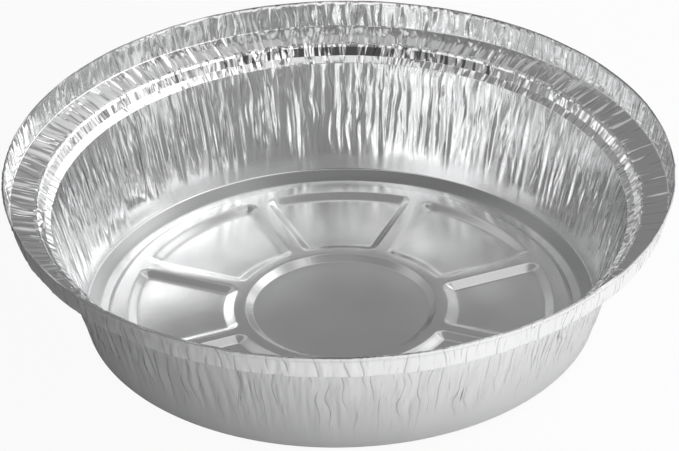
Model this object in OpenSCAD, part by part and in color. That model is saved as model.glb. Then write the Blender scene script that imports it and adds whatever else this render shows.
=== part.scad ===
// Round foil pie tin, pressed in one piece from thin aluminium foil.
// It stands on the table at z = 0, with its axis along Z and a panel of the base on the +Y side.
// Every ring below is given on the food side of the foil, and the outer side lies one foil thickness away.

/* [Overall] */
// Radius of the tin, to the outside of the hem
rim_r = 90.5; // [76:0.5:130]
// Height of the tin, from the table to the top of the rim
tin_h = 44.2; // [34:0.2:70]
// Thickness of the foil
foil_t = 0.1; // [0.06:0.01:0.2]

/* [Rim] */
// Height of the upright rim above the lid shelf
rim_h = 7.1; // [4:0.1:10]
// How far the upright rim leans out over its height
rim_flare = 1.9; // [0.8:0.1:4]
// Thickness of the hem, where the foil is folded over the top of the rim
hem_t = 0.5; // [0.3:0.05:0.8]
// Height of the hem
hem_h = 1.3; // [0.8:0.1:2]
// Width of the shelf that a board lid lies on
shelf_w = 7.4; // [4:0.1:12]
// How much lower the shelf is at its inner edge
shelf_dip = 1.8; // [0.4:0.1:3]
// Height of the steep step below the shelf
step_h = 2.4; // [1:0.1:5]
// Width of that step, seen from above
step_w = 1.7; // [0.6:0.1:3]
// Height of the bevel between the step and the wall
ledge_h = 1.4; // [0.6:0.1:3]
// Width of that bevel, seen from above
ledge_w = 1.8; // [0.6:0.1:4]

/* [Wall] */
// How far the wall leans in from its top to the foot
wall_lean = 8.5; // [4:0.1:16]
// Number of pleats pressed into the wall and rim
pleats = 120; // [60:1:140]
// Depth of the deepest pleats in the wall
pleat_depth = 1.2; // [0.3:0.05:1.4]
// Height above the table at which the pleats have died out
pleat_end_h = 7; // [4:0.5:12]
// Seed of the unevenness of the pleats
pleat_seed = 7; // [1:1:99]

/* [Foot ring] */
// Height of the bevel that runs round the bottom edge of the wall
foot_bevel_h = 1.9; // [0.8:0.1:3]
// Width of that bevel, seen from above
foot_bevel_w = 3.4; // [2:0.1:6]
// Width of the flat ring that the tin stands on
foot_w = 2.4; // [1:0.1:5]
// Width of the riser between the foot ring and the raised border
foot_riser_w = 1.8; // [0.8:0.1:4]
// Width of the raised border round the panels
border_w = 3.6; // [2:0.1:8]

/* [Base] */
// Height of the raised border, ribs and hub ring above the panels
emboss_h = 1.3; // [0.6:0.1:2.5]
// Number of panels, with a rib between each pair
panels = 8; // [5:1:10]
// Width of the top of a rib
rib_w = 3.2; // [1.5:0.1:6]
// Width of the bevel round each panel, which is also the radius of its corners
panel_bevel_w = 2.5; // [1.2:0.1:3.5]
// Width of the raised hub ring between the panels and the middle disc
hub_w = 3; // [1.5:0.1:5]
// Radius of the middle disc, to the top of its bevel
disc_r = 26.1; // [20:0.5:34]
// Width of the bevel of the middle disc
disc_bevel_w = 2.2; // [1:0.1:3.5]

/* [Hidden] */

// Radii of the rings, from the rim inwards
top_r = rim_r - hem_t;
shelf_out_r = rim_r - rim_flare;
shelf_in_r = shelf_out_r - shelf_w;
step_r = shelf_in_r - step_w;
wall_top_r = step_r - ledge_w;
foot_edge_r = wall_top_r - wall_lean;
foot_out_r = foot_edge_r - foot_bevel_w;
foot_in_r = foot_out_r - foot_w;
border_r = foot_in_r - foot_riser_w;
panel_out_r = border_r - border_w;
panel_in_r = disc_r + hub_w;

// Heights of the rings on the food side
floor_z = foil_t;
raised_z = floor_z + emboss_h;
foot_edge_z = floor_z + foot_bevel_h;
shelf_out_z = tin_h - rim_h;
shelf_in_z = shelf_out_z - shelf_dip;
step_z = shelf_in_z - step_h;
wall_top_z = step_z - ledge_h;
pleat_end_z = max(pleat_end_h, foot_edge_z + 1);

// A pleat is one column that stands out and one that stands in
pleat_columns = 2 * pleats;
// A panel's columns: the middle of its rib, the top and bottom of each side bevel, and the floor between
floor_columns = 5;
panel_columns = floor_columns + 5;
base_columns = panels * panel_columns;
panel_turn = 360 / panels;
first_rib_turn = 90 - panel_turn / 2;
// Share of a corner's radius by which rounding draws the corner in along each side
corner_draw = 1 - sqrt(0.5);

// Share of the pleat depth that each ring of the rim and wall takes
rim_share = 0.35;
shelf_share = 0.2;
step_share = 0.4;
wall_share = 1;
pleat_weight = rands(0.25, 1, pleat_columns, pleat_seed);
// How many columns a pleat's unevenness drifts by from ring to ring, and how much it mixes in
drift_step = 7;
drift_mix = 0.45;

// Radius and height on the wall's straight side, at a height above the table
function wall_at(z) =
    [foot_edge_r + wall_lean * (z - foot_edge_z) / (wall_top_z - foot_edge_z), z];
// Height at a share of the way down the pleated part of the wall
function pleated_z(share) = wall_top_z + (pleat_end_z - wall_top_z) * share;

// The pleated rings, as [radius and height on the food side, share of the pleat depth]
pleated_rings = [
    [[top_r, tin_h], rim_share],
    [[shelf_out_r, shelf_out_z], rim_share],
    [[shelf_in_r, shelf_in_z], shelf_share],
    [[step_r, step_z], step_share],
    [[wall_top_r, wall_top_z], step_share],
    [wall_at(pleated_z(0.2)), wall_share],
    [wall_at(pleated_z(0.7)), wall_share],
    [wall_at(pleated_z(1)), 0]
];
last_pleated = len(pleated_rings) - 1;
// The same profile with the foot's edge and bevel after it, which sets the thickness at each ring
profile = concat([for (ring = pleated_rings) ring[0]],
                 [[foot_edge_r, foot_edge_z], [foot_out_r, floor_z]]);

function unit(v) = v / norm(v);
// Outward normal of the stretch of profile that starts at point k
function stretch_normal(k) =
    let (along = unit(profile[k + 1] - profile[k])) [-along[1], along[0]];
// Outward normal at profile point k, and the offset there that keeps the foil's thickness round the bend
function bend_offset(k) =
    let (before = stretch_normal(max(k - 1, 0)), after = stretch_normal(k))
    (before + after) / (1 + before * after);

// How far column i stands out at ring k
function pleat(i, k) =
    let (weight = pleat_weight[i] * (1 - drift_mix)
                + pleat_weight[(i + k * drift_step) % pleat_columns] * drift_mix,
         side = i % 2 == 0 ? 0.5 : -0.5)
    side * weight * pleat_depth * pleated_rings[k][1];

function around(r, turn, z) = [r * cos(turn), r * sin(turn), z];

// One ring of the pleated rim and wall, moved out by the given share of the foil's thickness
function pleated_ring(k, side) =
    let (offset = bend_offset(k), normal = unit(offset))
    [for (i = [0 : pleat_columns - 1])
        let (at = pleated_rings[k][0] + normal * pleat(i, k) + offset * foil_t * side)
        around(at[0], i * 360 / pleat_columns, at[1])];

// A ring of the hem, which follows the pleats of the rim's top
function hem_ring(r, z) =
    [for (i = [0 : pleat_columns - 1]) around(r + pleat(i, 0), i * 360 / pleat_columns, z)];

// A plain ring of the base
function plain_ring(r, z) =
    [for (j = [0 : base_columns - 1]) around(r, j * 360 / base_columns + first_rib_turn, z)];

// Column c of a panel lies this far from the middle of the rib at its side, across the rib
function side_reach(c) = c == 0 ? 0 : rib_w / 2 + (c - 1) * panel_bevel_w;
// Turn of column c of a panel at radius r, from the middle of the rib before it
function column_turn(c, r, draw) =
    c <= 2 ? asin((side_reach(c) + (c == 1 ? draw : 0)) / r)
    : c >= panel_columns - 2 ? panel_turn - column_turn(panel_columns - c, r, draw)
    : let (start = column_turn(2, r, 0))
      start + (panel_turn - 2 * start) * (c - 2) / (floor_columns + 1);

// A ring through the panels. Its corners draw in by draw, and away from the panel's end by draw times way.
function panel_ring(r, floor_height, draw, way) =
    [for (p = [0 : panels - 1], c = [0 : panel_columns - 1])
        let (at_corner = c == 1 || c == panel_columns - 1,
             on_floor = c >= 2 && c <= panel_columns - 2,
             ring_r = at_corner ? r + draw * way : r)
        around(ring_r, first_rib_turn + p * panel_turn + column_turn(c, ring_r, draw),
               on_floor ? floor_height : raised_z)];

corner_shift = panel_bevel_w * corner_draw;
base_rings = [
    plain_ring(foot_out_r, floor_z),
    plain_ring(foot_in_r, floor_z),
    plain_ring(border_r, raised_z),
    panel_ring(panel_out_r, raised_z, corner_shift, -1),
    panel_ring(panel_out_r - panel_bevel_w, floor_z, 0, 0),
    panel_ring(panel_in_r + panel_bevel_w, floor_z, 0, 0),
    panel_ring(panel_in_r, raised_z, corner_shift, 1),
    plain_ring(disc_r, raised_z),
    plain_ring(disc_r - disc_bevel_w, floor_z)
];

// The ring at the foot's edge, which joins the wall to the base
function foot_edge_ring(side) =
    let (at = profile[last_pleated + 1] + bend_offset(last_pleated + 1) * foil_t * side)
    plain_ring(at[0], at[1]);

// All the points of one side of the foil: 0 is the food side and 1 the outer side
function side_points(side) = concat(
    [for (k = [0 : last_pleated]) each pleated_ring(k, side)],
    foot_edge_ring(side),
    [for (ring = base_rings) each [for (p = ring) p - [0, 0, foil_t * side]]]);

// Two triangles between neighbouring columns of two rings, with the crease from a to d or from b to c
function patch(a, b, c, d, crease_from_a) =
    crease_from_a ? [[a, c, d], [a, d, b]] : [[a, c, b], [b, c, d]];

// Whether a panel's column has its crease run with the corner of the bevel, at a ring that is the panel's end or not
function crease_way(j, inner_end) =
    let (first_half = j % panel_columns < panel_columns / 2) inner_end ? !first_half : first_half;

// Triangles between two rings of the same number of columns
function strip(upper, lower, columns, inner_end = false) =
    [for (i = [0 : columns - 1])
        let (next = (i + 1) % columns)
        each patch(upper + i, upper + next, lower + i, lower + next, crease_way(i, inner_end))];

// Triangles between a ring of many columns and a ring of few, turned by the first rib
turn_lead = first_rib_turn / 360;
function nearest_base(i) =
    round((i / pleat_columns - turn_lead) * base_columns);
function wrap(i, n) = (i % n + n) % n;
function zip_strip(fine, coarse) =
    [for (i = [0 : pleat_columns - 1])
        let (here = nearest_base(i), there = nearest_base(i + 1),
             a = fine + i, b = fine + (i + 1) % pleat_columns)
        each concat(
            [[a, coarse + wrap(here, base_columns), b]],
            [for (j = [here : 1 : there - 1])
                [b, coarse + wrap(j, base_columns), coarse + wrap(j + 1, base_columns)]])];

// First point of each ring, counted from the start of its side
function pleated_start(k) = k * pleat_columns;
foot_edge_start = pleated_start(last_pleated + 1);
function base_start(k) = foot_edge_start + (k + 1) * base_columns;
last_base = len(base_rings) - 1;
side_count = base_start(last_base) + base_columns;
// The inner ends of the panels, where the corner creases run the other way
inner_end_ring = 5;

function side_faces() = concat(
    [for (k = [0 : last_pleated - 1])
        each strip(pleated_start(k), pleated_start(k + 1), pleat_columns)],
    zip_strip(pleated_start(last_pleated), foot_edge_start),
    [for (k = [-1 : last_base - 1])
        each strip(base_start(k), base_start(k + 1), base_columns, k == inner_end_ring)],
    [[for (j = [base_columns - 1 : -1 : 0]) base_start(last_base) + j]]);

function shifted(faces, by) = [for (f = faces) [for (i = f) i + by]];
function flipped(faces) = [for (f = faces) [for (i = [len(f) - 1 : -1 : 0]) f[i]]];

// The hem: the foil folds over the top of the rim and ends in a thick edge on its outer side
hem_points = concat(
    hem_ring(rim_r, tin_h - hem_t / 2),
    hem_ring(rim_r - rim_flare * hem_h / rim_h, tin_h - hem_h));
hem_start = 2 * side_count;
hem_faces = concat(
    strip(hem_start, 0, pleat_columns),
    strip(hem_start + pleat_columns, hem_start, pleat_columns),
    strip(side_count, hem_start + pleat_columns, pleat_columns));

module pie_tin() {
    color([0.79, 0.8, 0.81])
        polyhedron(
            points = concat(side_points(0), side_points(1), hem_points),
            faces = flipped(concat(side_faces(), flipped(shifted(side_faces(), side_count)), hem_faces)),
            convexity = 8);
}

pie_tin();
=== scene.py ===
"""A round foil pie tin, pressed in one piece from thin aluminium foil and standing on a pale table."""

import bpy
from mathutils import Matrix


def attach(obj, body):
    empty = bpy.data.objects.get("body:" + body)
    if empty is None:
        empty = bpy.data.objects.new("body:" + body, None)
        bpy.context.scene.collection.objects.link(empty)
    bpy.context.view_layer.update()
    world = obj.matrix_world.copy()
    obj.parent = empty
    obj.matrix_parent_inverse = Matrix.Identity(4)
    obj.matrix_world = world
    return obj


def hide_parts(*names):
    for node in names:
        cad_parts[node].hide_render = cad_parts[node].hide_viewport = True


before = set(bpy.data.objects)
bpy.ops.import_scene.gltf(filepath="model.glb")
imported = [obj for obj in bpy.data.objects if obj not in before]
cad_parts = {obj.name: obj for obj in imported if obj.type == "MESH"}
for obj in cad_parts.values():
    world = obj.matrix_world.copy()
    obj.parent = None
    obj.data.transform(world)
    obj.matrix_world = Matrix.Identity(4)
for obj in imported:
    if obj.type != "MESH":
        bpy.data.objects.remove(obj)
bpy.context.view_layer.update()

import logging
import math
from dataclasses import dataclass, field
from enum import Enum

import bpy
import numpy as np
from mathutils import Matrix

log = logging.getLogger("pie_tin")
Array = np.ndarray
Pair = tuple[float, float]
Row = tuple[float, ...]
Waves = tuple[int, int, int]
Colour = tuple[float, float, float, float]
MM = 0.001  # a millimetre in metres
BEND = 0.07  # half the length of each rounded bend of a pressed slope, as a share of the slope
INNER_END = 0.86  # steepness of a panel's inner end, set against that of its sides
TINY = 1e-20  # keeps a length of zero from being divided by
WHITE: Colour = (1.0, 1.0, 1.0, 1.0)


def smooth(x: Array) -> Array:
    """Rises from 0 to 1 as x goes from 0 to 1, with level ends: 3x^2 - 2x^3."""
    x = np.clip(x, 0.0, 1.0)
    return x * x * (3.0 - 2.0 * x)


def pressed(x: Array) -> Array:
    """A pressed slope from 0 to 1: a straight ramp with a short parabola at each end, twice BEND long."""
    def half(x: Array) -> Array:
        """Level at zero, then a parabola, then a slope of one."""
        return np.where(x > BEND, x, np.clip(x + BEND, 0.0, None) ** 2 / (4 * BEND))
    return half(x) - half(x - 1.0)


@dataclass(frozen=True)
class TinSizes:
    """The tin's sizes in millimetres, on the food side of the foil.

    They are the solid's, apart from the groove and bead, whose top and face are shares of the bead's width.
    """

    rim_r: float = 90.5
    tin_h: float = 44.2
    foil_t: float = 0.1
    rim_h: float = 7.1
    rim_flare: float = 1.9
    hem_t: float = 0.5
    shelf_w: float = 7.4
    shelf_dip: float = 1.8
    bead_w: float = 0.55
    bead_h: float = 0.42
    groove_lift: float = 0.05
    bead_lift: float = 0.14
    bead_top: float = 0.4
    bead_face: float = 0.5
    step_h: float = 2.4
    step_w: float = 1.7
    ledge_h: float = 1.4
    ledge_w: float = 1.8
    wall_lean: float = 8.5
    foot_bevel_h: float = 1.9
    foot_bevel_w: float = 3.4
    foot_w: float = 2.4
    foot_riser_w: float = 1.8
    border_w: float = 3.6
    emboss_h: float = 1.3
    panels: int = 8
    rib_w: float = 3.2
    panel_bevel_w: float = 2.5
    hub_w: float = 3.0
    disc_r: float = 26.1
    disc_bevel_w: float = 2.2

    @property
    def corners(self) -> Array:
        """Radius and height of each bend of the rim and wall, from the rim's top down to the foot ring.

        The shelf ends in a fine groove and a bead, whose face slopes down to the step.

        Returns:
            Rows of radius and height in millimetres.
        """
        shelf_out = self.rim_r - self.rim_flare
        shelf_in = shelf_out - self.shelf_w
        step = shelf_in - self.step_w
        wall_top = step - self.ledge_w
        foot_edge = wall_top - self.wall_lean
        shelf_z = self.tin_h - self.rim_h
        edge_z = shelf_z - self.shelf_dip
        step_z = edge_z - self.step_h
        return np.array([
            (self.rim_r - self.hem_t, self.tin_h),
            (shelf_out, shelf_z),
            (shelf_in + 2 * self.bead_w, edge_z + 2 * self.bead_w * self.shelf_dip / self.shelf_w),
            (shelf_in + self.bead_w, edge_z + self.groove_lift),
            (shelf_in + self.bead_top * self.bead_w, edge_z + self.bead_lift),
            (shelf_in - self.bead_face * self.bead_w, edge_z - self.bead_h),
            (step, step_z),
            (wall_top, step_z - self.ledge_h),
            (foot_edge, self.foil_t + self.foot_bevel_h),
            (foot_edge - self.foot_bevel_w, self.foil_t),
        ])

    @property
    def foot_out(self) -> float:
        """Outer radius of the flat ring that the tin stands on."""
        return float(self.corners[-1, 0])

    @property
    def foot_in(self) -> float:
        """Inner radius of that ring."""
        return self.foot_out - self.foot_w

    @property
    def border_r(self) -> float:
        """Outer radius of the raised border round the panels."""
        return self.foot_in - self.foot_riser_w

    @property
    def panel_out(self) -> float:
        """Radius of the panels' outer ends."""
        return self.border_r - self.border_w

    @property
    def panel_in(self) -> float:
        """Radius of the panels' inner ends."""
        return self.disc_r + self.hub_w


class Zone(Enum):
    """The bands of the pleated sheet, each named for the stretch of the profile that it follows."""

    RIM = 0
    SHELF = 1
    GROOVE = 2
    BEAD = 3
    EDGE = 4
    STEP = 5
    LEDGE = 6
    WALL = 7
    FOOT = 8

    @property
    def creased(self) -> float:
        """How strongly the foil is finely creased there, from 0 to 1."""
        return (0.9, 0.6, 0.9, 0.9, 0.9, 1.0, 1.0, 0.8, 0.0)[self.value]


@dataclass
class Profile:
    """Rows of the pleated sheet, from the rim's top to the foot: the tin's section with rounded bends."""

    sizes: TinSizes
    bend_r: Row = (0.0, 0.4, 0.1, 0.1, 0.1, 0.1, 0.4, 0.35, 0.6, 0.0)
    bend_rows: tuple[int, ...] = (1, 2, 1, 1, 1, 1, 2, 2, 3, 0)
    straight_rows: tuple[int, ...] = (4, 2, 0, 0, 0, 1, 1, 11, 1)
    radius: Array = field(init=False)
    height: Array = field(init=False)
    normal: Array = field(init=False)
    zone: Array = field(init=False)
    share: Array = field(init=False)
    along: Array = field(init=False)
    zone_start: Array = field(init=False)

    def __post_init__(self) -> None:
        """Rounds each bend with an arc that touches both stretches, and spaces rows along what is left."""
        corner = self.sizes.corners
        along = np.diff(corner, axis=0)
        length = np.hypot(along[:, 0], along[:, 1])
        unit = along / length[:, None]
        face = np.stack([-unit[:, 1], unit[:, 0]], axis=-1)
        points, normals, zones, shares = [], [], [], []
        start = corner[0]
        for k in range(len(unit)):
            end, cut = corner[k + 1], 0.0
            last = k == len(unit) - 1
            if not last:
                turn = math.acos(float(np.clip(unit[k] @ unit[k + 1], -1.0, 1.0)))
                cut = self.bend_r[k + 1] * math.tan(turn / 2)
                end = corner[k + 1] - unit[k] * cut
            t = (np.arange(self.straight_rows[k] + 1) / (self.straight_rows[k] + 1))[:, None]
            rows = start + (end - start) * t
            points.append(rows)
            normals.append(np.repeat(face[k][None], len(rows), axis=0))
            zones.append(np.full(len(rows), k))
            shares.append(np.linalg.norm(rows - corner[k], axis=1) / length[k])
            if last:
                break
            n = self.bend_rows[k + 1]
            a = (np.arange(n) / n)[:, None]
            blend = face[k] * np.sin((1 - a) * turn) + face[k + 1] * np.sin(a * turn)
            blend = blend / math.sin(turn)
            side = 1.0 if unit[k][0] * unit[k + 1][1] - unit[k][1] * unit[k + 1][0] > 0 else -1.0
            middle = end + face[k] * side * self.bend_r[k + 1]
            points.append(middle - blend * side * self.bend_r[k + 1])
            normals.append(blend)
            zones.append(np.where(np.arange(n) < n / 2, k, k + 1))
            shares.append(np.where(np.arange(n) < n / 2, 1.0, 0.0))
            start = corner[k + 1] + unit[k + 1] * cut
        rows = np.concatenate(points)
        self.radius, self.height = rows[:, 0], rows[:, 1]
        self.normal = np.concatenate(normals)
        self.zone, self.share = np.concatenate(zones), np.concatenate(shares)
        self.zone_start = np.concatenate([[0.0], np.cumsum(length)])
        self.along = self.zone_start[self.zone] + self.share * length[self.zone]


@dataclass(frozen=True)
class FoldSet:
    """Narrow folds that lie side by side round the tin, each pointed at both ends like a needle.

    A pair is the least and the most, in millimetres. A fold starts at a distance along the section from the
    start of its zone. Sunk is the share of folds that are hollows, and clumps says how unevenly they are
    spaced. A fan is a few folds that spread from one point.
    """

    zone: Zone
    count: int
    start: Pair
    length: Pair
    half_width: Pair
    height: Pair
    slant: float
    sunk: float = 0.4
    clumps: float = 0.0
    fan: int = 1


@dataclass(frozen=True)
class Pleats:
    """The uneven folds that a flat sheet gets when it is pressed into a deep round form.

    Lengths are in millimetres. Noise is given by its least and most waves round the tin and its salt.
    """

    seed: int = 7
    seed_step: int = 31
    sets: tuple[FoldSet, ...] = (
        FoldSet(Zone.RIM, 190, (-2.0, 2.0), (5.0, 9.0), (0.7, 1.3), (0.12, 0.36), 0.16, 0.5),
        FoldSet(Zone.RIM, 380, (-1.0, 5.0), (1.5, 4.5), (0.5, 0.8), (0.08, 0.2), 0.3, 0.5),
        FoldSet(Zone.SHELF, 200, (-1.2, -0.2), (7.6, 9.0), (0.75, 1.25), (0.1, 0.26), 0.05, 0.5, 0.6),
        FoldSet(Zone.SHELF, 150, (-0.4, 3.0), (3.0, 6.0), (0.5, 0.7), (0.05, 0.12), 0.1, 0.5, 1.0),
        FoldSet(Zone.GROOVE, 330, (-0.6, 0.3), (3.6, 6.4), (0.5, 0.85), (0.2, 0.5), 0.3, 0.3, 1.8),
        FoldSet(Zone.LEDGE, 340, (-0.7, 0.4), (1.8, 3.0), (0.42, 0.7), (0.16, 0.38), 0.25, 0.4, 1.5),
        FoldSet(Zone.WALL, 210, (0.0, 8.0), (15.0, 28.0), (0.6, 1.15), (0.2, 0.52), 0.04, 0.35),
        FoldSet(Zone.WALL, 240, (0.0, 12.0), (8.0, 18.0), (0.5, 0.8), (0.16, 0.38), 0.15, 0.4, 0.6, 3),
        FoldSet(Zone.WALL, 330, (-0.6, 1.0), (3.0, 9.0), (0.45, 0.8), (0.12, 0.3), 0.14, 0.4, 1.0),
    )
    scatter: float = 0.42
    clump_waves: tuple[int, int] = (4, 26)
    clump_pull: float = 0.2
    size_power: float = 1.5
    height_change: Pair = (0.7, 1.2)
    crest_place: Pair = (0.35, 0.65)
    taper_power: float = 0.7
    tip_width: float = 0.3
    stray: float = 0.25
    most_lean: float = 2.5
    waviness: float = 0.05
    waves: Waves = (5, 40, 901)
    smooth_foot: float = 1.7
    foot_line: Waves = (20, 110, 902)
    foot_sway: float = 1.6
    foot_fade: float = 4.0

    def spots(self, folds: FoldSet, rng: np.random.Generator) -> Array:
        """Places of a set's folds or fans: evenly spaced, then scattered and drawn into clumps.

        Args:
            folds: The set.
            rng: Source of the random draws.

        Returns:
            Angles in radians.
        """
        groups = folds.count // folds.fan
        spot = (np.arange(groups) + rng.uniform(-self.scatter, self.scatter, groups)) / groups * 2 * np.pi
        waves = np.arange(*self.clump_waves)
        turn = waves * spot[:, None] + rng.uniform(0, 2 * np.pi, waves.size)
        return spot + self.clump_pull * folds.clumps * (np.sin(turn) / waves).sum(axis=1)

    def lay(self, folds: FoldSet, profile: Profile, theta: Array, salt: int) -> Array:
        """Lays one set of folds on the sheet.

        A fold's height is that of a roof, 1 - |x|, where x is the distance across it over its half width on
        that side, times a power of sin(pi s), where s goes from 0 to 1 along the fold. Its width shrinks the
        same way, and it runs at a slant about the point where its fan meets.

        Args:
            folds: The set.
            profile: The tin's section.
            theta: Angle of each column, in radians.
            salt: Sets this set's random draws apart.

        Returns:
            Displacement towards the food side in millimetres [row, column].
        """
        rng = np.random.default_rng(self.seed + self.seed_step * salt)
        relief = np.zeros((profile.along.size, theta.size))
        pitch = 2 * np.pi / theta.size
        arc = profile.radius.min() * pitch
        first = profile.zone_start[folds.zone.value]
        for spot in self.spots(folds, rng):
            top = first + rng.uniform(*folds.start)
            pivot = rng.integers(0, 2)
            spread = rng.permutation(np.linspace(-1.0, 1.0, folds.fan)) if folds.fan > 1 else [rng.normal()]
            for lean in spread:
                long = rng.uniform(*folds.length)
                size = rng.uniform() ** self.size_power
                half = np.interp(size, (0, 1), folds.half_width)
                high = np.interp(size, (0, 1), folds.height) * rng.uniform(*self.height_change)
                if rng.uniform() < folds.sunk:
                    high = -high
                skew = rng.uniform(*self.crest_place)
                share = (profile.along - top) / long
                taper = np.sin(np.pi * np.clip(share, 0.0, 1.0)) ** self.taper_power
                run = folds.slant * (lean + self.stray * rng.normal()) * (share - pivot) * long
                reach = int((abs(folds.slant) * self.most_lean * long + 2 * half) / arc) + 2
                near = (round(spot / pitch) + np.arange(-reach, reach + 1)) % theta.size
                away = np.angle(np.exp(1j * (theta[near] - spot)))[None]
                away = away * profile.radius[:, None] - run[:, None]
                width = half * (self.tip_width + (1 - self.tip_width) * taper[:, None])
                width = width * 2 * np.where(away < 0, skew, 1 - skew)
                relief[:, near] += high * taper[:, None] * np.maximum(1 - np.abs(away) / width, 0.0)
        return relief

    def wander(self, theta: Array, low: int, high: int, salt: int) -> Array:
        """Seamless smooth noise round the tin: a sum of cosines of whole numbers of waves.

        Args:
            theta: Angle of each column, in radians.
            low: Fewest waves round the tin.
            high: Most waves round the tin.
            salt: Sets these random draws apart.

        Returns:
            Noise of unit size at each angle.
        """
        m = np.arange(low, high + 1)
        phase = np.random.default_rng(self.seed + salt).uniform(0, 2 * np.pi, m.size)
        return np.cos(m * theta[:, None] + phase).sum(axis=-1) * math.sqrt(2.0 / m.size)

    def relief(self, profile: Profile, theta: Array) -> Array:
        """All folds of the sheet and a slight waviness, faded out at an uneven height above the foot.

        Args:
            profile: The tin's section.
            theta: Angle of each column, in radians.

        Returns:
            Displacement towards the food side in millimetres.
        """
        total = sum(self.lay(folds, profile, theta, k) for k, folds in enumerate(self.sets))
        total = total + self.waviness * self.wander(theta, *self.waves)
        end = profile.zone_start[Zone.FOOT.value] - self.smooth_foot
        end = end + self.foot_sway * self.wander(theta, *self.foot_line)
        return total * smooth((end[None] - profile.along[:, None]) / self.foot_fade)


@dataclass(frozen=True)
class Puckers:
    """Small dents where the foil gathers at the panels' outer corners. Lengths are in millimetres."""

    seed: int = 11
    from_end: float = 2.6
    from_side: float = 2.7
    at_each_corner: int = 2
    scatter: float = 0.9
    size: Pair = (0.7, 1.1)
    height: Pair = (0.12, 0.34)
    ways: Pair = (-0.4, 1.0)

    def relief(self, sizes: TinSizes, radius: Array, theta: Array) -> Array:
        """Height to add: dents h exp(-(distance / size)^2) near each corner, up or a little down.

        Args:
            sizes: The tin's sizes.
            radius: Radius of each point.
            theta: Angle of each point.

        Returns:
            Height in millimetres.
        """
        rng = np.random.default_rng(self.seed)
        x, y = radius * np.cos(theta), radius * np.sin(theta)
        turn = 2 * np.pi / sizes.panels
        added = np.zeros_like(radius)
        corner_r = sizes.panel_out - self.from_end
        lean = math.asin((sizes.rib_w / 2 + self.from_side) / corner_r)
        for rib in range(sizes.panels):
            for hand in (-1, 1):
                angle = np.pi / 2 + turn / 2 + rib * turn + hand * lean
                for _ in range(self.at_each_corner):
                    px = corner_r * math.cos(angle) + rng.normal(0.0, self.scatter)
                    py = corner_r * math.sin(angle) + rng.normal(0.0, self.scatter)
                    far = ((x - px) ** 2 + (y - py) ** 2) / rng.uniform(*self.size) ** 2
                    added += rng.uniform(*self.height) * rng.choice(self.ways) * np.exp(-far)
        return added


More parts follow.
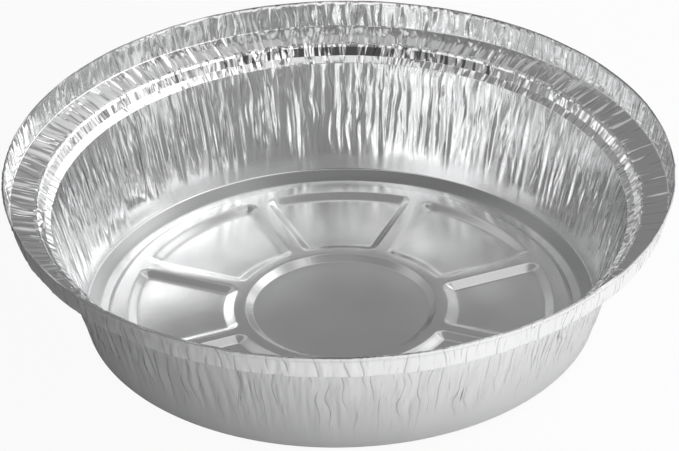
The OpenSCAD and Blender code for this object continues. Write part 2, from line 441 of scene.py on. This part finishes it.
@dataclass(frozen=True)
class PressedBase:
    """The tin's bottom: a raised border, sunk panels between ribs, a hub ring and a sunk middle disc.

    Lengths are in millimetres. Columns beside a rib and rings on a slope are shares of the slope's width.
    """

    sizes: TinSizes
    puckers: Puckers = Puckers()
    columns: int = 42
    rib_columns: Row = (-0.6, -BEND, BEND, 0.3, 0.5, 0.7, 1 - BEND, 1 + BEND, 1.45)
    edge_rings: Row = (-BEND, BEND, 1 - BEND, 1 + BEND)
    slope_rings: Row = (-BEND, BEND, 0.3, 0.5, 0.7, 1 - BEND, 1 + BEND)
    panel_rings: Row = (54.4, 53.3, 51.5, 48.0, 44.5, 41.0, 37.5, 35.0, 33.4)
    disc_rings: Row = (20.0, 14.0, 8.0, 2.0)
    seam: float = 0.2
    least_r: float = 20.0
    follow_from: float = 17.0
    follow_to: float = 66.0
    follow_fade: float = 7.0
    corner_more: float = 0.1
    corner_growth: float = 1.1
    corner_from: float = 38.0
    corner_over: float = 14.0
    swell_h: float = 0.12
    swell_across: float = 14.0
    swell_along: float = 9.0

    def angles(self, radius: Array) -> Array:
        """Angle of each column at each ring.

        Near the panels the columns follow the ribs: one a distance d from a rib's middle lies at
        arcsin(d / r). Towards the wall and the middle they turn into evenly spaced ones.

        Args:
            radius: Radius of each ring.

        Returns:
            Angles in radians, with a row for each ring.
        """
        s = self.sizes
        reach = np.append(0.0, s.rib_w / 2 + s.panel_bevel_w * np.array(self.rib_columns))
        turn = 2 * np.pi / s.panels
        near = np.arcsin(reach[None] / np.maximum(radius, self.least_r)[:, None])
        middle_columns = self.columns - 2 * reach.size + 1
        first, last = near[:, -1:], turn - near[:, -1:]
        share = (np.arange(middle_columns) + 1) / (middle_columns + 1)
        middle = first + (last - first) * share[None]
        along_ribs = np.concatenate([near, middle, turn - near[:, :0:-1]], axis=1)
        even = (np.arange(self.columns) * turn / self.columns)[None]
        follow = smooth((self.follow_to - radius) / self.follow_fade)
        follow = follow * smooth((radius - self.follow_from) / self.follow_fade)
        one = even + (along_ribs - even) * follow[:, None]
        start = np.pi / 2 - turn / 2 + np.arange(s.panels) * turn
        return (start[None, :, None] + one[:, None, :]).reshape(radius.size, -1)

    def height(self, radius: Array, theta: Array) -> Array:
        """Height of the base on the food side.

        A chain of pressed slopes along the radius, less the panels. A panel lies between two ribs and two
        circles, and has rounded corners. With a, b and c the distances inside its sides, outer end and inner
        end, and q the corner radius, the distance inside its outline is q - |(q - a, q - b, q - c)|, counting
        only what is above zero. The sheet goes down a pressed slope as that distance grows.

        Args:
            radius: Radius of each point.
            theta: Angle of each point.

        Returns:
            Height in millimetres.
        """
        s = self.sizes
        up_to_edge = (radius - s.foot_out) / s.foot_bevel_w * s.foot_bevel_h
        height = s.foil_t + np.maximum(up_to_edge, 0.0)
        height = height + s.emboss_h * pressed((s.foot_in - radius) / s.foot_riser_w)
        height = height - s.emboss_h * pressed((s.disc_r - radius) / s.disc_bevel_w)

        turn = 2 * np.pi / s.panels
        off = np.abs((theta - np.pi / 2 + turn / 2) % turn - turn / 2)
        side = radius * np.sin(turn / 2 - off) - s.rib_w / 2
        outer = s.panel_out - radius
        inner = (radius - s.panel_in) * INNER_END
        growth = smooth((radius - self.corner_from) / self.corner_over)
        round_r = s.panel_bevel_w + self.corner_more + self.corner_growth * growth
        short = [np.maximum(round_r - d, 0.0) for d in (side, outer, inner)]
        inside = round_r - np.sqrt(sum(d * d for d in short))
        sunk = pressed(inside / s.panel_bevel_w)
        height = height - s.emboss_h * sunk
        height = height + self.puckers.relief(s, radius, theta)
        swell = self.swell_h * smooth(side / self.swell_across)
        swell = swell * smooth(outer / self.swell_along) * smooth(inner / self.swell_along)
        return height + swell * sunk

    def sheet(self) -> tuple[Array, Array]:
        """Places the base.

        Returns:
            Points [ring, column, xyz] in millimetres, from the foot's edge inwards, and their angles.
        """
        s = self.sizes
        edges, slope = np.array(self.edge_rings), np.array(self.slope_rings)
        rings = np.concatenate([
            s.foot_out + np.array([self.seam, -self.seam]),
            s.foot_in - s.foot_riser_w * edges,
            s.panel_out - s.panel_bevel_w * slope,
            self.panel_rings,
            s.panel_in + s.panel_bevel_w / INNER_END * slope[::-1],
            s.disc_r - s.disc_bevel_w * edges,
            self.disc_rings,
        ])
        theta = self.angles(rings)
        radius = np.repeat(rings[:, None], theta.shape[1], axis=1)
        height = self.height(radius, theta)
        return np.stack([radius * np.cos(theta), radius * np.sin(theta), height], axis=-1), theta


def surface_normals(points: Array) -> Array:
    """Unit normals of a grid: the cross product of its steps along the section and round the tin.

    Args:
        points: The grid's points [row, column, xyz], whose last column meets the first.

    Returns:
        Normals that point to the food side.
    """
    around = np.roll(points, -1, axis=1) - np.roll(points, 1, axis=1)
    normal = np.cross(np.gradient(points, axis=0), around)
    size = np.linalg.norm(normal, axis=-1, keepdims=True)
    return -normal / np.maximum(size, TINY)


def strip(upper: int, lower: int, n: int) -> Array:
    """Quads between two rings of vertices.

    Args:
        upper: Number of the first vertex of the upper ring.
        lower: Number of the first vertex of the lower ring.
        n: Columns in each ring.

    Returns:
        Vertex numbers, four in a row.
    """
    i = np.arange(n)
    j = (i + 1) % n
    return np.stack([upper + i, lower + i, lower + j, upper + j], axis=-1)


def zip_strip(fine: int, coarse: int, n: int, theta: Array) -> Array:
    """Triangles between a fine ring and a coarse one.

    Each fine column belongs to the nearest coarse one. Two fine neighbours and the first one's coarse
    column make a triangle, and where that column changes, one more closes the gap.

    Args:
        fine: First vertex of the fine ring.
        coarse: First vertex of the coarse ring.
        n: Number of fine columns.
        theta: Angle of each coarse column, evenly spaced.

    Returns:
        Triangles as vertex numbers.
    """
    m = theta.size
    i = np.arange(n)
    j = (i + 1) % n
    nearest = np.round((i * 2 * np.pi / n - theta[0]) / (2 * np.pi) * m).astype(int) % m
    here, there = nearest[i], nearest[j]
    wide = np.stack([fine + i, coarse + here, fine + j], axis=-1)
    steps = here != there
    narrow = np.stack([fine + j[steps], coarse + here[steps], coarse + there[steps]], axis=-1)
    return np.concatenate([wide, narrow])


@dataclass(frozen=True)
class FoilTin:
    """The whole tin: one thin sheet with a food side and an outer side, closed over the hem.

    Lengths are in millimetres. The end and the fade of the fine creases are shares of the wall.
    """

    sizes: TinSizes = TinSizes()
    pleats: Pleats = Pleats()
    fine_columns: int = 864
    body: str = "root"
    crease_end: float = 0.95
    crease_fade: float = 0.5
    hem_creased: float = 0.45
    hem_sway: float = 0.025
    hem_waves: Waves = (60, 400, 21)
    crown_out: float = 0.28
    crown_up: float = 0.06
    lip_down: float = 0.35
    hem_foot_in: float = 0.12

    def pleated_sheet(self) -> tuple[Array, Array, Array]:
        """Places the rim and wall.

        Each point is the profile's point turned round the axis, moved along the profile's outward normal by
        the depth of the folds there.

        Returns:
            Points [row, column, xyz] in millimetres, a crease weight for the finish, and the distance along
            the section in millimetres.
        """
        profile = Profile(self.sizes)
        theta = np.arange(self.fine_columns) * 2 * np.pi / self.fine_columns
        depth = -self.pleats.relief(profile, theta)
        weight = np.array([Zone(z).creased for z in profile.zone])
        down = np.where(profile.zone == Zone.WALL.value, profile.share, 0.0)
        weight = weight * smooth((self.crease_end - down) / self.crease_fade)
        radius = profile.radius[:, None] + profile.normal[:, :1] * depth
        height = profile.height[:, None] + profile.normal[:, 1:] * depth
        points = np.stack([radius * np.cos(theta), radius * np.sin(theta), height], axis=-1)
        even = np.ones_like(theta)
        return points, weight[:, None] * even, profile.along[:, None] * even

    def hem(self, top_inner: Array, top_outer: Array) -> Array:
        """Places the folded edge: three rows that lie outside the sheet, round its top.

        Args:
            top_inner: Points of the food side's first row.
            top_outer: Points of the outer side's row at the hem's foot.

        Returns:
            Points [3, column, xyz] in millimetres.
        """
        s = self.sizes
        angle = np.arctan2(top_inner[:, 1], top_inner[:, 0])
        out = np.stack([np.cos(angle), np.sin(angle), np.zeros_like(angle)], axis=-1)
        uneven = self.hem_sway * self.pleats.wander(angle, *self.hem_waves)[:, None]
        crown = top_inner + out * self.crown_out + np.array([0, 0, self.crown_up])
        lip = top_inner + out * (s.hem_t + uneven) - np.array([0, 0, self.lip_down])
        foot = top_outer + out * (s.hem_t - self.hem_foot_in + uneven)
        return np.stack([crown, lip, foot])

    def build(self) -> bpy.types.Object:
        """Builds the tin's mesh and hangs it on the frame.

        Returns:
            The finished object.
        """
        wall, creased, along = self.pleated_sheet()
        base, base_theta = PressedBase(self.sizes).sheet()
        t = self.sizes.foil_t
        wall_out = wall - surface_normals(wall) * t
        base_out = base - np.array([0.0, 0.0, t])
        hem_row = 1
        hem = self.hem(wall[0], wall_out[hem_row])

        rows, n = wall.shape[:2]
        rings, m = base.shape[:2]
        parts, weights, runs, quads, tris = [], [], [], [], []
        count, first = 0, {}
        sides = (("food", wall, base, 0, 1), ("outer", wall_out, base_out, hem_row, -1))
        for name, sheet, floor, top, flip in sides:
            at = first[name] = count
            base_at = at + rows * n
            last = base_at + (rings - 1) * m
            centre = last + m
            strips = [strip(at + k * n, at + (k + 1) * n, n) for k in range(top, rows - 1)]
            strips += [strip(base_at + k * m, base_at + (k + 1) * m, m) for k in range(rings - 1)]
            j = np.arange(m)
            cap = np.stack([last + j, np.full(m, centre), last + (j + 1) % m], axis=-1)
            seam = zip_strip(at + (rows - 1) * n, base_at, n, base_theta[0])
            quads.append(np.concatenate(strips)[:, ::flip])
            tris.append(np.concatenate([seam, cap])[:, ::flip])
            parts += [sheet.reshape(-1, 3), floor.reshape(-1, 3), [[0.0, 0.0, floor[-1, 0, 2]]]]
            weights += [creased.reshape(-1), np.zeros(rings * m + 1)]
            runs += [along.reshape(-1), np.full(rings * m + 1, along.max())]
            count = centre + 1
        parts.append(hem.reshape(-1, 3))
        weights.append(np.full(3 * n, self.hem_creased))
        runs.append(np.zeros(3 * n))
        crown, lip, foot = count, count + n, count + 2 * n
        quads += [
            strip(crown, first["food"], n),
            strip(lip, crown, n),
            strip(foot, lip, n),
            strip(first["outer"] + hem_row * n, foot, n),
        ]
        points, quad_faces, tri_faces = (np.concatenate(p) for p in (parts, quads, tris))
        layers = {"creased": np.concatenate(weights), "along": np.concatenate(runs) * MM}
        piece = make_piece("pie_tin_foil", points * MM, quad_faces, tri_faces, layers)
        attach(piece, self.body)
        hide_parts("pie_tin")
        return piece


def vertex_normals(points: Array, quads: Array, tris: Array) -> Array:
    """Unit normals of the vertices: the sum of the normals of the faces round each, weighed by their areas.

    Args:
        points: Vertex places.
        quads: Four vertex numbers for each quad.
        tris: Three vertex numbers for each triangle.

    Returns:
        One normal for each vertex. A broad face outweighs the narrow ones at its edges, so it looks flat.
    """
    total = np.zeros_like(points)
    for faces, far in ((quads, 3), (tris, 2)):
        first = points[faces[:, 2]] - points[faces[:, 0]]
        second = points[faces[:, far]] - points[faces[:, 1]]
        area = np.cross(first, second)
        for corner in faces.T:
            for axis in range(3):
                total[:, axis] += np.bincount(corner, area[:, axis], len(points))
    return total / np.maximum(np.linalg.norm(total, axis=1, keepdims=True), TINY)


def make_piece(name: str, points: Array, quads: Array, tris: Array,
               weights: dict[str, Array]) -> bpy.types.Object:
    """Makes a smooth mesh object at the origin.

    Args:
        name: The object's name.
        points: Vertex places in metres.
        quads: Four vertex numbers for each quad.
        tris: Three vertex numbers for each triangle.
        weights: Named numbers, one for each vertex.

    Returns:
        The object, linked to the scene.
    """
    used = np.unique(np.concatenate([quads.ravel(), tris.ravel()]))
    renumber = np.full(len(points), -1)
    renumber[used] = np.arange(used.size)
    mesh = bpy.data.meshes.new(name)
    mesh.vertices.add(used.size)
    mesh.vertices.foreach_set("co", points[used].astype(np.float32).ravel())
    corners = np.concatenate([renumber[quads].ravel(), renumber[tris].ravel()])
    mesh.loops.add(corners.size)
    mesh.loops.foreach_set("vertex_index", corners.astype(np.int32))
    starts = np.concatenate([np.arange(len(quads)) * 4, len(quads) * 4 + np.arange(len(tris)) * 3])
    mesh.polygons.add(starts.size)
    mesh.polygons.foreach_set("loop_start", starts.astype(np.int32))
    mesh.polygons.foreach_set("use_smooth", np.ones(starts.size, bool))
    for key, values in weights.items():
        layer = mesh.attributes.new(key, "FLOAT", "POINT")
        layer.data.foreach_set("value", values[used].astype(np.float32))
    mesh.update(calc_edges=True)
    if mesh.validate():
        log.warning("%s: the mesh had faults that Blender mended", name)
    normals = vertex_normals(points, quads, tris)[used]
    mesh.normals_split_custom_set_from_vertices(normals.astype(np.float32))
    piece = bpy.data.objects.new(name, mesh)
    bpy.context.scene.collection.objects.link(piece)
    log.info("%s: %d vertices, %d triangles", name, used.size, 2 * len(quads) + len(tris))
    return piece


class Wire:
    """A shader socket that takes part in Python expressions."""

    def __init__(self, shader: "Shader", socket: bpy.types.NodeSocket) -> None:
        """Keeps the socket and the shader that it belongs to."""
        self.shader = shader
        self.socket = socket

    def _math(self, operation: str, first: object, second: object) -> "Wire":
        """Adds a Math node for two operands."""
        return self.shader.node("Math", {"operation": operation}, {0: first, 1: second})

    def __add__(self, other: object) -> "Wire":
        """Sum."""
        return self._math("ADD", self, other)

    def __sub__(self, other: object) -> "Wire":
        """Difference."""
        return self._math("SUBTRACT", self, other)

    def __rsub__(self, other: object) -> "Wire":
        """Difference, with the number first."""
        return self._math("SUBTRACT", other, self)

    def __mul__(self, other: object) -> "Wire":
        """Product."""
        return self._math("MULTIPLY", self, other)

    __radd__, __rmul__ = __add__, __mul__  # the order makes no difference

    def ramp(self, low: float, high: float, kind: str = "SMOOTHSTEP") -> "Wire":
        """Goes from 0 at low to 1 at high, smoothly or in a straight line."""
        return self.shader.node("MapRange", {"interpolation_type": kind},
                                {"Value": self, "From Min": low, "From Max": high})


class Shader:
    """A node tree with short ways to add nodes."""

    def __init__(self, tree: bpy.types.NodeTree) -> None:
        """Empties the tree and keeps it."""
        self.tree = tree
        tree.nodes.clear()

    def node(self, kind: str, settings: dict[str, object], inputs: dict[object, object],
             output: object = 0) -> Wire:
        """Adds a node.

        Args:
            kind: The node's type, without its prefix.
            settings: Its settings, set before its sockets.
            inputs: The value or the wire for each socket, by name or number.
            output: The socket that the result stands for.

        Returns:
            That output as a wire.
        """
        made = self.tree.nodes.new("ShaderNode" + kind)
        for key, value in settings.items():
            setattr(made, key, value)
        for key, value in inputs.items():
            if isinstance(value, Wire):
                self.tree.links.new(value.socket, made.inputs[key])
            else:
                made.inputs[key].default_value = value
        return Wire(self, made.outputs[output])

    def place(self, output: str = "Object") -> Wire:
        """Adds the coordinates of the point that is shaded."""
        return self.node("TexCoord", {}, {}, output)

    def attribute(self, name: str) -> Wire:
        """Adds one of the mesh's named numbers."""
        return self.node("Attribute", {"attribute_name": name}, {}, "Fac")

    def ray(self, kind: str) -> Wire:
        """Adds the test of the ray's kind: 1 if it is so, else 0."""
        return self.node("LightPath", {}, {}, kind)

    def vector(self, operation: str, inputs: dict[object, object], output: object = 0) -> Wire:
        """Adds a sum on vectors."""
        return self.node("VectorMath", {"operation": operation}, inputs, output)

    def noise(self, place: Wire, scale: float, detail: float) -> Wire:
        """Adds smooth noise in three dimensions."""
        return self.node("TexNoise", {"noise_dimensions": "3D"},
                         {"Vector": place, "Scale": scale, "Detail": detail})

    def mix(self, share: object, first: object, second: object) -> Wire:
        """Blends two colours: the first where the share is 0, the second where it is 1."""
        return self.node("Mix", {"data_type": "RGBA"}, {0: share, 6: first, 7: second}, 2)

    def finish(self, kind: str, surface: Wire) -> None:
        """Adds the tree's output node and gives it the surface."""
        output = self.tree.nodes.new("ShaderNode" + kind)
        self.tree.links.new(surface.socket, output.inputs["Surface"])


@dataclass(frozen=True)
class NeedleSet:
    """One pattern of fine folds.

    The spacing is in metres, and so is the sway, which is how far folds stray from straight. The stretch is
    length over width. The rest are shares of the spacing: half a fold's width, how far the painted shade line
    on one flank reaches in and out from the fold's side, and where on the flank that painted shade starts and
    has its full strength.
    """

    spacing: float
    stretch: float
    sway: float
    width: float = 0.5
    shade_line_in: float = 0.12
    shade_line_out: float = 0.1
    flank: Pair = (0.15, 0.4)


class PleatSpace:
    """Seamless coordinates on the pleated sheet, in metres, for patterns drawn out along the pleats.

    The direction from the axis times a mean radius gives the way round, and the "along" attribute the
    distance down the tin's section. A soft noise makes the patterns sway.
    """

    MEAN_R = 0.079
    SWAY_SCALE = 130.0

    def __init__(self, shader: Shader) -> None:
        """Lays the nodes that all patterns share.

        Args:
            shader: The material that they go into.
        """
        self.shader = shader
        place = shader.place()
        flat = shader.vector("MULTIPLY", {0: place, 1: (1.0, 1.0, 0.0)})
        self.away = shader.vector("LENGTH", {0: flat}, "Value")
        way = shader.vector("NORMALIZE", {0: flat})
        self.ring = shader.vector("SCALE", {0: way, "Scale": self.MEAN_R})
        self.side = shader.vector("CROSS_PRODUCT", {0: way, 1: (0.0, 0.0, 1.0)})
        self.along = shader.attribute("along")
        self.slow = shader.noise(place, self.SWAY_SCALE, 0.0) - 0.5

    def at(self, stretch: float, sway: float) -> Wire:
        """Coordinates for one pattern.

        Args:
            stretch: How much longer than wide the pattern gets.
            sway: How far a soft noise moves it round, in metres.

        Returns:
            The coordinates.
        """
        down = self.shader.node("CombineXYZ", {}, {"Z": self.along * (1.0 / stretch)})
        base = self.shader.vector("ADD", {0: self.ring, 1: down})
        return self.shader.vector("MULTIPLY_ADD", {0: self.side, 1: self.slow * sway, 2: base})

    def needles(self, folds: NeedleSet) -> tuple[Wire, Wire]:
        """Scattered folds shaped like needles, which fall evenly from a crest to their sides and ends.

        Args:
            folds: The pattern.

        Returns:
            The height, 1 on a crest and 0 beside a fold, and a thin painted shade line along one flank of
            each fold, dark as if that flank were in shade.
        """
        at = self.at(folds.stretch, folds.sway)
        cells = {"Vector": at, "Scale": 1.0 / folds.spacing}
        gap = self.shader.node("TexVoronoi", {"feature": "F1"}, cells)
        crest = self.shader.node("TexVoronoi", {"feature": "F1"}, cells, "Position")
        off = self.shader.vector("SUBTRACT", {0: at, 1: crest})
        flank = self.shader.vector("DOT_PRODUCT", {0: off, 1: self.side}, "Value")
        # painted shade: a thin dark line on one flank of each fold, as on the shaded side of a crease
        line = gap.ramp(folds.width - folds.shade_line_in, folds.width)
        line = line * gap.ramp(folds.width + folds.shade_line_out, folds.width)
        line = line * flank.ramp(folds.flank[0] * folds.spacing, folds.flank[1] * folds.spacing)
        return gap.ramp(folds.width, 0.0, "LINEAR"), line

    def noise(self, scale: float, stretch: float, detail: float) -> Wire:
        """Noise drawn out along the pleats."""
        return self.shader.noise(self.at(stretch, 0.0), scale, detail)


@dataclass(frozen=True)
class BrightFoil:
    """Bright rolled foil: a soft mirror, finely creased where the sheet was gathered and rougher round the
    foot's bevel, with painted shade in thin lines on one flank of the folds, on the foot's bevel and just
    under the hem's top.

    Lengths are in metres. Noise is given by its scale, its stretch if it has one, and its detail. A share
    says how strongly a pattern counts, and a span where it starts and where it has its full strength.
    """

    sizes: TinSizes = TinSizes()
    colour: Colour = (0.94, 0.942, 0.945, 1.0)
    dull_colour: Colour = (0.88, 0.885, 0.89, 1.0)
    # dark colour of painted shade, used for the lines on the folds' flanks and for the band under the hem's
    # top
    painted_shade_colour: Colour = (0.3, 0.3, 0.31, 1.0)
    painted_foot_shade_colour: Colour = (0.54, 0.543, 0.547, 1.0)
    roughness: float = 0.09
    handled_roughness: float = 0.04
    pressed_roughness: float = 0.21
    drawn_roughness: float = 0.3
    foot_bevel_fade: float = 0.0004
    # height of the band of painted shadow under the hem's top
    hem_line: float = 0.00045
    fold_depth: float = 0.0003
    long_folds: NeedleSet = NeedleSet(0.0027, 8.0, 0.003)
    short_folds: NeedleSet = NeedleSet(0.0015, 5.0, 0.0022)
    streaks: Row = (900.0, 12.0, 1.0)
    patches: Row = (160.0, 2.0, 0.0)
    rolling: Pair = (2200.0, 1.0)
    rolling_stretch: Row = (1.0, 0.03, 1.0)
    dents: Pair = (60.0, 1.0)
    patch_span: Pair = (0.42, 0.62)
    handled_span: Pair = (0.35, 0.7)
    hem_shadow_span: Pair = (0.3, 0.5)
    flat_span: Pair = (0.0, 0.15)
    short_share: float = 0.2
    patch_share: float = 0.45
    streak_share: float = 0.16
    rolling_share: float = 0.008
    dent_share: float = 0.12
    handled_share: float = 0.35
    flank_shade_share: float = 0.6
    hem_shadow_share: float = 0.85

    def dress(self, piece: bpy.types.Object) -> None:
        """Gives the piece this finish.

        Args:
            piece: The object, which has a "creased" and an "along" attribute.
        """
        material = bpy.data.materials.new("bright_foil")
        material.use_nodes = True
        shader = Shader(material.node_tree)
        place = shader.place()
        creased = shader.attribute("creased")

        space = PleatSpace(shader)
        long_folds, long_flank_shade = space.needles(self.long_folds)
        short_folds, short_flank_shade = space.needles(self.short_folds)
        rolled = shader.node("Mapping", {}, {"Vector": place, "Scale": self.rolling_stretch})
        dents = shader.noise(place, *self.dents)
        some = space.noise(*self.patches).ramp(*self.patch_span)
        few = self.short_share + self.patch_share * some
        relief = creased * (long_folds + short_folds * few + space.noise(*self.streaks) * self.streak_share)
        relief = relief + shader.noise(rolled, *self.rolling) * self.rolling_share + dents * self.dent_share
        bump = shader.node("Bump", {}, {"Strength": 1.0, "Distance": self.fold_depth, "Height": relief})

        handled = dents.ramp(*self.handled_span)
        colour = shader.mix(handled * self.handled_share, self.colour, self.dull_colour)
        # painted shade: thin dark lines on one flank of the folds, as if those flanks lay in shade
        crease_flank_shade = creased * (long_flank_shade * self.flank_shade_share + short_flank_shade * few * self.flank_shade_share)
        colour = shader.mix(crease_flank_shade, colour, self.painted_shade_colour)
        flat = 1.0 - creased.ramp(*self.flat_span)
        rough = self.roughness + (self.pressed_roughness - self.roughness) * flat
        rough = rough + self.handled_roughness * handled

        # the foot's bevel: its darker colour is painted shade, as if the band lay in shade all round; its
        # higher roughness is the foil's own
        drawn = self.foot_bevel(space.away)
        colour = shader.mix(drawn, colour, self.painted_foot_shade_colour)
        rough = rough + (self.drawn_roughness - rough) * drawn
        # painted shadow: a thin dark band just under the hem's top, patchy round the tin, as in the gap under
        # the rolled hem
        height = shader.node("SeparateXYZ", {}, {"Vector": place}, "Z")
        top = self.sizes.tin_h * MM
        hem_shadow = height.ramp(top - self.hem_line, top) * dents.ramp(*self.hem_shadow_span)
        colour = shader.mix(hem_shadow * self.hem_shadow_share, colour, self.painted_shade_colour)
        surface = shader.node("BsdfPrincipled", {},
                              {"Base Color": colour, "Metallic": 1.0, "Roughness": rough, "Normal": bump})
        shader.finish("OutputMaterial", surface)
        piece.data.materials.clear()
        piece.data.materials.append(material)

    def foot_bevel(self, away: Wire) -> Wire:
        """Mask of the bevel round the foot, whose colour is darkened as painted shade and whose roughness is
        raised: a ramp up at its inner edge times one down at its outer edge.

        Args:
            away: Distance to the tin's axis, in metres.

        Returns:
            1 on the bevel and 0 elsewhere.
        """
        inner, outer = self.sizes.foot_out * MM, float(self.sizes.corners[-2, 0]) * MM
        fade = self.foot_bevel_fade
        return away.ramp(inner - fade, inner + fade) * away.ramp(outer, outer - fade)


@dataclass(frozen=True)
class Table:
    """The pale table top that the tin stands on, with lengths in metres.

    It is white to the camera. To the metal it shows painted shade: darker at the left, as under a lamp close
    by on the right, and darker next to the tin, as in its shadow.
    """

    half_width: float = 6.0
    drop: float = 5e-5
    tone: float = 0.95
    shaded_tone: float = 0.3
    shown_to_metal: float = 0.97
    shade_from: float = 0.1
    shade_to: float = -0.14
    foot_from: float = 0.056
    foot_to: float = 0.11
    seen_white: float = 0.94

    def build(self) -> None:
        """Makes the table."""
        w, z = self.half_width, -self.drop
        mesh = bpy.data.meshes.new("table_top")
        mesh.from_pydata([(-w, -w, z), (w, -w, z), (w, w, z), (-w, w, z)], [], [(0, 1, 2, 3)])
        table = bpy.data.objects.new("table_top", mesh)
        bpy.context.scene.collection.objects.link(table)
        material = bpy.data.materials.new("pale_table")
        material.use_nodes = True
        shader = Shader(material.node_tree)
        place = shader.place()
        across = shader.node("SeparateXYZ", {}, {"Vector": place}, "X")
        # painted shade on the table: its tone falls from right to left, and the white that the metal sees
        # fades out next to the tin
        shade = across.ramp(self.shade_from, self.shade_to)
        tone = self.tone - (self.tone - self.shaded_tone) * shade
        away = shader.vector("LENGTH", {0: place}, "Value")
        shown = self.shown_to_metal * (1.0 - shade) * away.ramp(self.foot_from, self.foot_to)
        matt = shader.node("BsdfDiffuse", {}, {"Color": tone})
        white = shader.node("Emission", {}, {"Color": WHITE, "Strength": 1.0})
        share = shader.ray("Is Camera Ray") * self.seen_white + shader.ray("Is Glossy Ray") * shown
        both = shader.node("MixShader", {}, {0: share, 1: matt, 2: white})
        shader.finish("OutputMaterial", both)
        mesh.materials.append(material)


@dataclass(frozen=True)
class Softbox:
    """A soft rectangular light far off, seen from the tin at an azimuth and an elevation.

    Angles are in degrees, with azimuth 0 at +X and 90 at +Y. The amount is added to the room's level, so one
    below zero makes a dark patch.
    """

    azimuth: float
    elevation: float
    half_width: float
    half_height: float
    amount: float
    soft: float = 10.0
    front_fade: float = 0.1

    def weight(self, shader: Shader, way: Wire) -> Wire:
        """Weight of the light: 1 inside its sides, falling to 0 over its soft edge.

        Args:
            shader: The tree to add to.
            way: The direction looked along.

        Returns:
            The weight.
        """
        turn, rise = math.radians(self.azimuth), math.radians(self.elevation)
        front = (math.cos(turn) * math.cos(rise), math.sin(turn) * math.cos(rise), math.sin(rise))
        side = (-math.sin(turn), math.cos(turn), 0.0)
        up = (-math.cos(turn) * math.sin(rise), -math.sin(turn) * math.sin(rise), math.cos(rise))
        weight: Wire | None = None
        for axis, half in ((side, self.half_width), (up, self.half_height)):
            dot = shader.vector("DOT_PRODUCT", {0: way, 1: axis}, "Value")
            off = shader.node("Math", {"operation": "ABSOLUTE"}, {0: dot})
            inner, outer = (math.sin(math.radians(half + k * self.soft / 2)) for k in (-1, 1))
            part = off.ramp(outer, inner)
            weight = part if weight is None else weight * part
        ahead = shader.vector("DOT_PRODUCT", {0: way, 1: front}, "Value")
        return weight * ahead.ramp(0.0, self.front_fade)


@dataclass(frozen=True)
class Studio:
    """The studio round the table: a grey room with softboxes, the strongest on the right."""

    level: float = 0.22
    lights: tuple[Softbox, ...] = (
        Softbox(10, 40, 26, 14, 1.2, 12),  # right key
        Softbox(44, 18, 14, 12, 1.3, 10),  # right of the back wall
        Softbox(3, 9, 24, 7, 0.9),  # low right
        Softbox(325, 5, 14, 6, 0.9),  # low front right
        Softbox(275, 6, 36, 6, 0.8),  # low front
        Softbox(318, 25, 18, 7, 0.7),  # front right window
        Softbox(332, 52, 30, 9, 1.05, 6),  # right ceiling
        Softbox(222, 56, 14, 7, 0.65),  # front left ceiling
        Softbox(28, 70, 18, 4, 0.6, 4),  # high right
        Softbox(228, 20, 22, 7, 0.9),  # front left window
        Softbox(203, 44, 14, 6, 0.75),  # left window
        Softbox(180, 11, 28, 7, 0.8),  # low left
        Softbox(165, 22, 38, 22, 0.08),  # left wall
        Softbox(270, 74, 24, 6, 0.62, 8),  # overhead
        Softbox(90, 62, 40, 8, 0.28),  # back ceiling
        Softbox(66, 48, 9, 8, 0.45),  # back right corner
        Softbox(70, 30, 6, 12, 0.12, 8),  # beside the key
        Softbox(270, 39, 30, 11, -0.15),  # dark room behind the camera
    )

    def build(self) -> None:
        """Sets the world: the camera sees plain white, and all else is lit by the studio."""
        world = bpy.data.worlds.new("studio")
        world.use_nodes = True
        bpy.context.scene.world = world
        shader = Shader(world.node_tree)
        way = shader.place("Generated")
        light = sum((box.amount * box.weight(shader, way) for box in self.lights), self.level)
        camera = shader.ray("Is Camera Ray")
        strength = light * (1.0 - camera) + camera
        glow = shader.node("Background", {}, {"Color": WHITE, "Strength": strength})
        shader.finish("OutputWorld", glow)


@dataclass(frozen=True)
class PhotoCamera:
    """A long lens far off, looking down at the tin. Lengths without a unit in their name are in metres."""

    distance: float = 1.81
    elevation_deg: float = 33.2
    pitch_deg: float = 32.51
    roll_deg: float = -1.04
    picture_px: float = 679.0
    focal_px: float = 6651.0
    target_z: float = 0.0013
    sensor_mm: float = 36.0
    clip: Pair = (0.01, 50.0)

    def build(self) -> None:
        """Makes the camera and gives it to the scene."""
        data = bpy.data.cameras.new("camera")
        data.sensor_fit = "HORIZONTAL"
        data.sensor_width = self.sensor_mm
        data.lens = self.focal_px / self.picture_px * self.sensor_mm
        data.clip_start, data.clip_end = self.clip
        camera = bpy.data.objects.new("camera", data)
        bpy.context.scene.collection.objects.link(camera)
        up_angle, pitch, roll = (math.radians(a) for a in (self.elevation_deg, self.pitch_deg, self.roll_deg))
        ahead = np.array([0.0, math.cos(pitch), -math.sin(pitch)])
        right = np.array([1.0, 0.0, 0.0])
        up = np.cross(right, ahead)
        turned_right = right * math.cos(roll) + up * math.sin(roll)
        turned_up = -right * math.sin(roll) + up * math.cos(roll)
        place = Matrix.Identity(4)
        for k, axis in enumerate((turned_right, turned_up, -ahead)):
            place.col[k][:3] = axis
        place.col[3][:3] = (0.0, -self.distance * math.cos(up_angle),
                            self.distance * math.sin(up_angle) + self.target_z)
        camera.matrix_world = place
        bpy.context.scene.camera = camera


def main() -> None:
    """Builds the camera, the studio, the table and the tin."""
    logging.basicConfig(level=logging.INFO, format="%(name)s: %(message)s")
    PhotoCamera().build()
    Studio().build()
    Table().build()
    tin = FoilTin().build()
    BrightFoil().dress(tin)
    bpy.context.scene.view_settings.view_transform = "Standard"
    bpy.context.view_layer.update()


if __name__ == "__main__":
    main()
